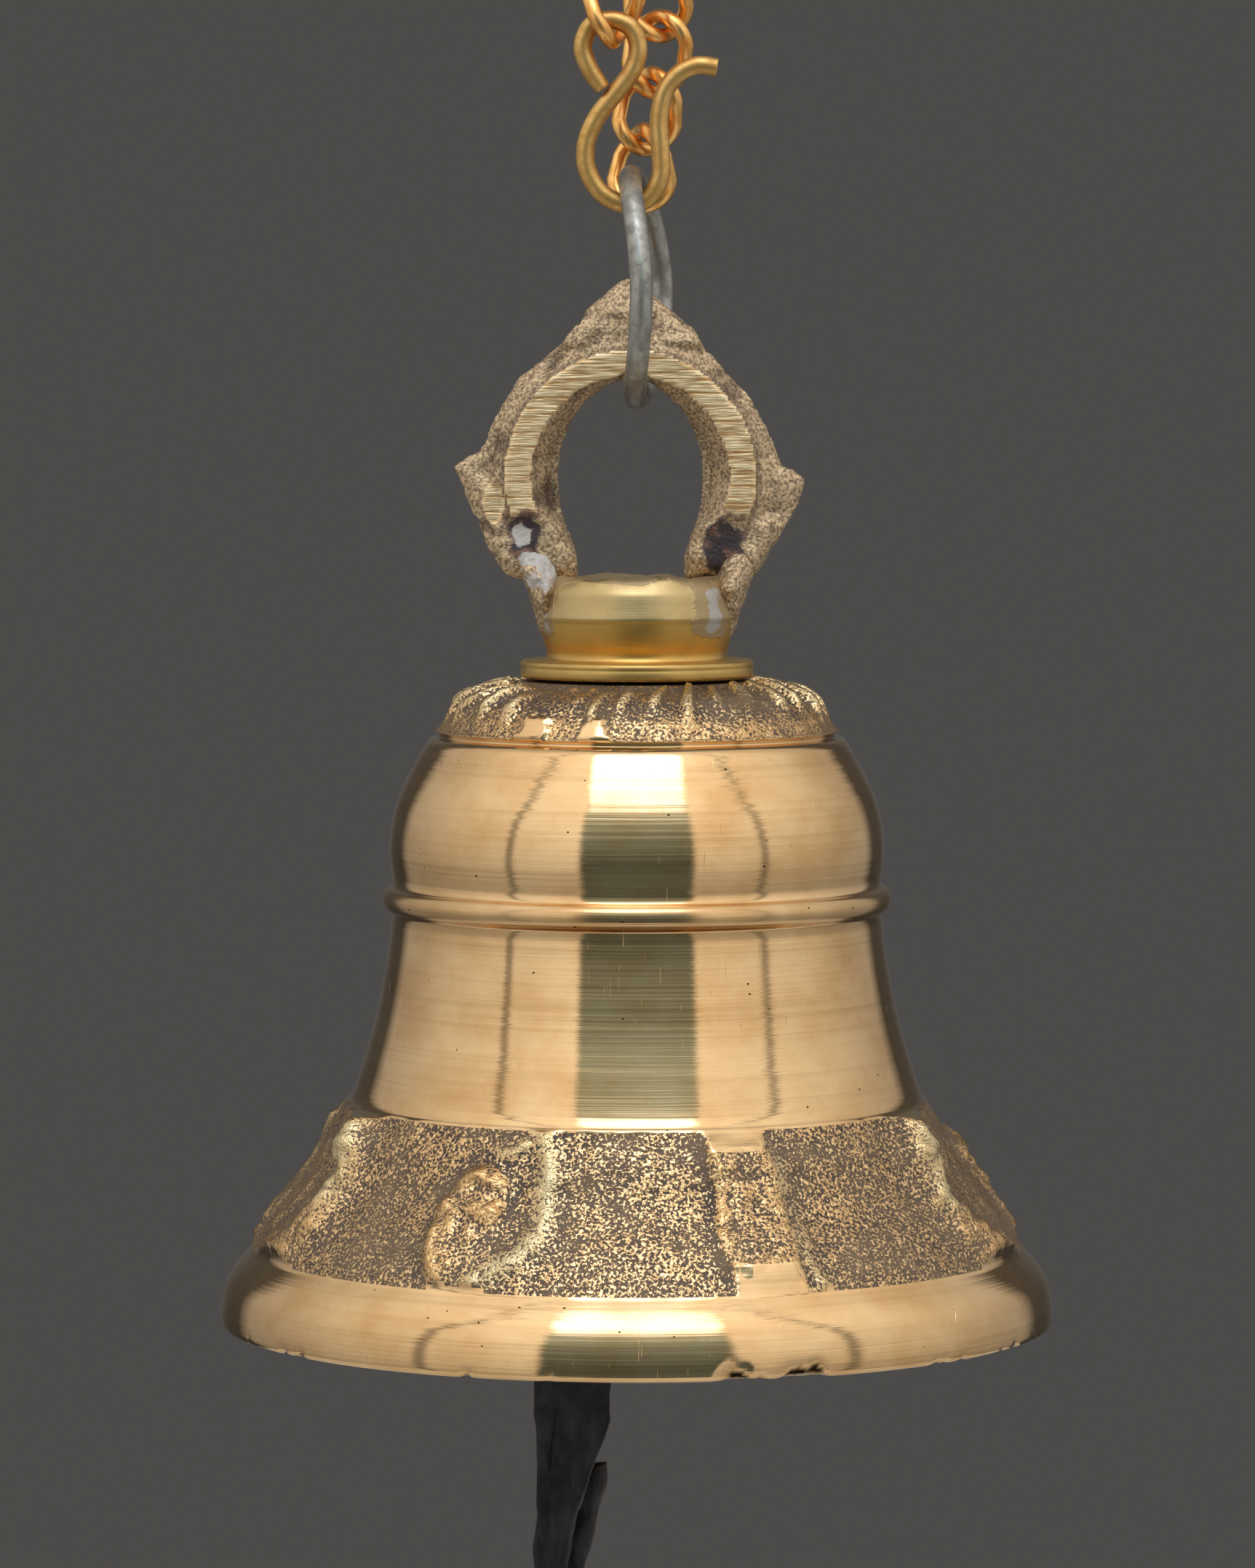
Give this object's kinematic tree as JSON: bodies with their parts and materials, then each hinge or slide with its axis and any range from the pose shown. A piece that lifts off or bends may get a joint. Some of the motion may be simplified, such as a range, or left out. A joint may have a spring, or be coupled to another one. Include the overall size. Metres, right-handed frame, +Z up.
{
  "type": "temple bell",
  "caption": "Small cast and turned bronze temple bell with a clapper, hung by a cast loop, a steel wire ring, an S-hook and a twisted chain",
  "frame": {"origin": "the inside top of the hanging link, which is the point that the bell hangs by, on the bell's own axis", "axes": "+Z up along the bell's axis, +X to the right and +Y to the back when the hanging loop's filed face is in front"},
  "size_m": [0.0762, 0.0762, 0.1651],
  "materials": {
    "bell_bronze": "turned and polished over a rough cast skin",
    "turned_brass": "turned, slightly tarnished",
    "cast_bronze": "sand cast, filed on its face",
    "braze": "rough braze with flux",
    "galvanised_steel": "dull galvanised",
    "steel_fixing": "plain zinc plated",
    "hook_brass": "satin drawn wire",
    "chain_brass": "glossy lacquered wire",
    "dark_iron": "black annealed wire",
    "strap_leather": "worn black leather"
  },
  "bodies": {
    "hanging_link": {"hanging_link": "chain_brass"},
    "upper_links": {"chain_a2": "chain_brass", "chain_b5": "chain_brass"},
    "lower_links": {"chain_a1": "chain_brass", "chain_b4": "chain_brass"},
    "hook": {"s_hook": "hook_brass", "chain_b3": "chain_brass", "chain_b2": "chain_brass", "chain_b1": "chain_brass"},
    "ring": {"steel_ring": "galvanised_steel"},
    "bell": {"bell_body": "bell_bronze", "crown_boss": "turned_brass", "crown_washer": "steel_fixing", "crown_nut": "steel_fixing", "hanging_loop": "cast_bronze", "braze_fillet_left": "braze", "braze_fillet_right": "braze", "clapper_eye": "dark_iron"},
    "clapper": {"clapper_rod": "dark_iron", "clapper_ball": "turned_brass", "pull_strap": "strap_leather"}
  },
  "joints": [
    {"name": "upper_links_swing", "type": "hinge", "parent": "hanging_link", "child": "upper_links", "pos_m": [0, 0, -0.004], "axis": [1, 0, 0], "range_deg": [-6, 6]},
    {"name": "lower_links_swing", "type": "hinge", "parent": "upper_links", "child": "lower_links", "pos_m": [0, 0, -0.0088], "axis": [0, 1, 0], "range_deg": [-5, 5]},
    {"name": "hook_swing", "type": "hinge", "parent": "lower_links", "child": "hook", "pos_m": [0, 0, -0.0135], "axis": [1, 0, 0], "range_deg": [-5, 5]},
    {"name": "ring_swing", "type": "hinge", "parent": "hook", "child": "ring", "pos_m": [0, 0, -0.02692], "axis": [1, 0, 0], "range_deg": [-5, 5]},
    {"name": "bell_swing", "type": "hinge", "parent": "ring", "child": "bell", "pos_m": [0, 0, -0.04708], "axis": [0, 1, 0], "range_deg": [-25, 25]},
    {"name": "clapper_swing", "type": "hinge", "parent": "bell", "child": "clapper", "pos_m": [-0.0016, 0, -0.0849], "axis": [0, 1, 0], "range_deg": [-30, 26]}
  ]
}
